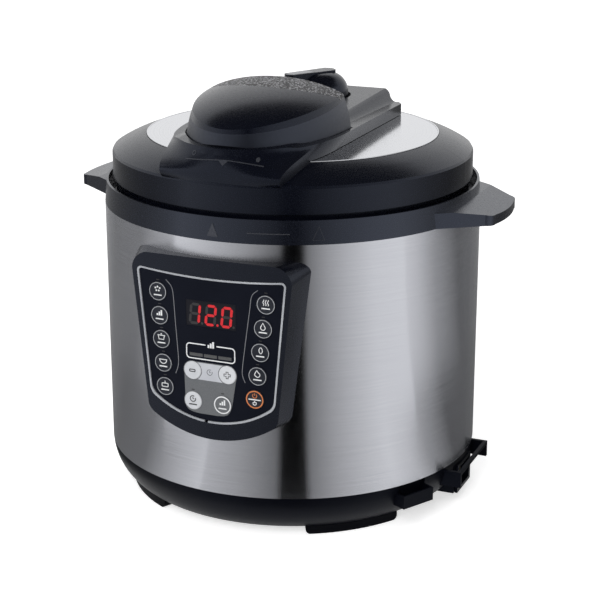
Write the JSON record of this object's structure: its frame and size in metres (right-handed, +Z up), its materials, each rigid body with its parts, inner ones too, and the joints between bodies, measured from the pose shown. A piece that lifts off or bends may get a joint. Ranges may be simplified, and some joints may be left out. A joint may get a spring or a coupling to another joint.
{
  "type": "electric pressure cooker",
  "caption": "Electric pressure cooker with a twist-lock lid, domed lid grip, steam valve, side handles, lift-out style pot and a sprung key panel round a numeric display.",
  "frame": {"origin": "on the floor under the body's round axis, at the bottom of the feet", "axes": "+Z up along the body's axis, -Y out of the control panel, side handles along +X and -X"},
  "size_m": [0.3196, 0.2729, 0.3002],
  "materials": {
    "black_plastic": "satin",
    "black_gloss": "gloss",
    "grip_texture": "grained",
    "foot_rubber": "matte",
    "shell_steel": "brushed",
    "trim_metal": "satin",
    "pot_metal": "satin",
    "plate_metal": "cast",
    "inner_steel": "brushed",
    "board_green": "matte",
    "pale_plastic": "matte",
    "panel_dark": "satin",
    "panel_silver": "satin",
    "key_grey": "satin",
    "key_silver": "satin",
    "display_dark": "gloss",
    "seal_rubber": "matte",
    "contact_brass": "plain"
  },
  "bodies": {
    "cooker_body": {"base_housing": "black_plastic", "bottom_cover": "black_plastic", "base_screws": "inner_steel", "feet": "foot_rubber", "outer_shell": "shell_steel", "top_ring": "black_plastic", "outer_pot": "pot_metal", "inner_pot": "pot_metal", "heating_plate": "plate_metal", "heating_element": "inner_steel", "sensor_spring": "inner_steel", "power_board": "board_green", "pressure_switch": "pale_plastic", "thermal_fuse": "pale_plastic", "power_inlet": "black_gloss", "inlet_pins": "contact_brass", "panel_frame": "black_gloss", "panel_border": "panel_silver", "panel_overlay": "panel_dark", "led_display": "display_dark", "control_board": "board_green"},
    "seal": {"sealing_ring": "seal_rubber"},
    "lid": {"lid_cover": "black_plastic", "trim_plate": "trim_metal", "lid_pan": "inner_steel", "seal_carrier": "inner_steel", "exhaust_pipe": "inner_steel", "steam_shield": "inner_steel", "lid_screws": "inner_steel", "handle_base": "black_gloss", "handle_shell": "black_plastic", "handle_grip": "grip_texture"},
    "valve": {"steam_valve": "black_gloss", "valve_trim": "panel_silver"},
    "float": {"float_valve": "inner_steel", "float_seal": "seal_rubber"},
    "probe": {"sensor_probe": "plate_metal"},
    "key_rice": {"key_rice": "key_grey"},
    "key_soup": {"key_soup": "key_grey"},
    "key_beans": {"key_beans": "key_grey"},
    "key_cake": {"key_cake": "key_grey"},
    "key_reheat": {"key_reheat": "key_grey"},
    "key_meat": {"key_meat": "key_grey"},
    "key_fish": {"key_fish": "key_grey"},
    "key_steam": {"key_steam": "key_grey"},
    "key_stew": {"key_stew": "key_grey"},
    "key_cancel": {"key_cancel": "key_grey"},
    "key_minus": {"key_minus": "key_silver"},
    "key_plus": {"key_plus": "key_silver"},
    "key_time": {"key_time": "key_silver"},
    "key_level": {"key_level": "key_grey"}
  },
  "joints": [
    {"name": "lid_lift", "type": "slide", "parent": "cooker_body", "child": "seal", "axis": [0, 0, 1], "range_m": [0, 0.12]},
    {"name": "lid_turn", "type": "hinge", "parent": "seal", "child": "lid", "pos_m": [0, 0, 0.2165], "axis": [0, 0, 1], "range_deg": [0, 30]},
    {"name": "valve_turn", "type": "hinge", "parent": "lid", "child": "valve", "pos_m": [0, 0.05, 0.28], "axis": [0, 0, 1], "range_deg": [0, 40]},
    {"name": "float_rise", "type": "slide", "parent": "lid", "child": "float", "axis": [0, 0, 1], "range_m": [0, 0.006]},
    {"name": "probe_press", "type": "slide", "parent": "cooker_body", "child": "probe", "axis": [0, 0, 1], "range_m": [-0.004, 0], "stiffness_N_per_m": 400, "deforming": ["sensor_spring"]},
    {"name": "key_rice_press", "type": "slide", "parent": "cooker_body", "child": "key_rice", "axis": [0.0241, 0.9997, 0], "range_m": [0, 0.0007], "stiffness_N_per_m": 300},
    {"name": "key_soup_press", "type": "slide", "parent": "cooker_body", "child": "key_soup", "axis": [0.0235, 0.9997, 0], "range_m": [0, 0.0007], "stiffness_N_per_m": 300},
    {"name": "key_beans_press", "type": "slide", "parent": "cooker_body", "child": "key_beans", "axis": [0.0229, 0.9997, 0], "range_m": [0, 0.0007], "stiffness_N_per_m": 300},
    {"name": "key_cake_press", "type": "slide", "parent": "cooker_body", "child": "key_cake", "axis": [0.0223, 0.9998, 0], "range_m": [0, 0.0007], "stiffness_N_per_m": 300},
    {"name": "key_reheat_press", "type": "slide", "parent": "cooker_body", "child": "key_reheat", "axis": [0.0217, 0.9998, 0], "range_m": [0, 0.0007], "stiffness_N_per_m": 300},
    {"name": "key_meat_press", "type": "slide", "parent": "cooker_body", "child": "key_meat", "axis": [-0.0247, 0.9997, 0], "range_m": [0, 0.0007], "stiffness_N_per_m": 300},
    {"name": "key_fish_press", "type": "slide", "parent": "cooker_body", "child": "key_fish", "axis": [-0.0234, 0.9997, 0], "range_m": [0, 0.0007], "stiffness_N_per_m": 300},
    {"name": "key_steam_press", "type": "slide", "parent": "cooker_body", "child": "key_steam", "axis": [-0.0221, 0.9998, 0], "range_m": [0, 0.0007], "stiffness_N_per_m": 300},
    {"name": "key_stew_press", "type": "slide", "parent": "cooker_body", "child": "key_stew", "axis": [-0.0208, 0.9998, 0], "range_m": [0, 0.0007], "stiffness_N_per_m": 300},
    {"name": "key_cancel_press", "type": "slide", "parent": "cooker_body", "child": "key_cancel", "axis": [-0.0195, 0.9998, 0], "range_m": [0, 0.0007], "stiffness_N_per_m": 300},
    {"name": "key_minus_press", "type": "slide", "parent": "cooker_body", "child": "key_minus", "axis": [0.0087, 1, 0], "range_m": [0, 0.0007], "stiffness_N_per_m": 300},
    {"name": "key_plus_press", "type": "slide", "parent": "cooker_body", "child": "key_plus", "axis": [-0.0072, 1, 0], "range_m": [0, 0.0007], "stiffness_N_per_m": 300},
    {"name": "key_time_press", "type": "slide", "parent": "cooker_body", "child": "key_time", "axis": [0.0087, 1, 0], "range_m": [0, 0.0007], "stiffness_N_per_m": 300},
    {"name": "key_level_press", "type": "slide", "parent": "cooker_body", "child": "key_level", "axis": [-0.0049, 1, 0], "range_m": [0, 0.0007], "stiffness_N_per_m": 300}
  ]
}
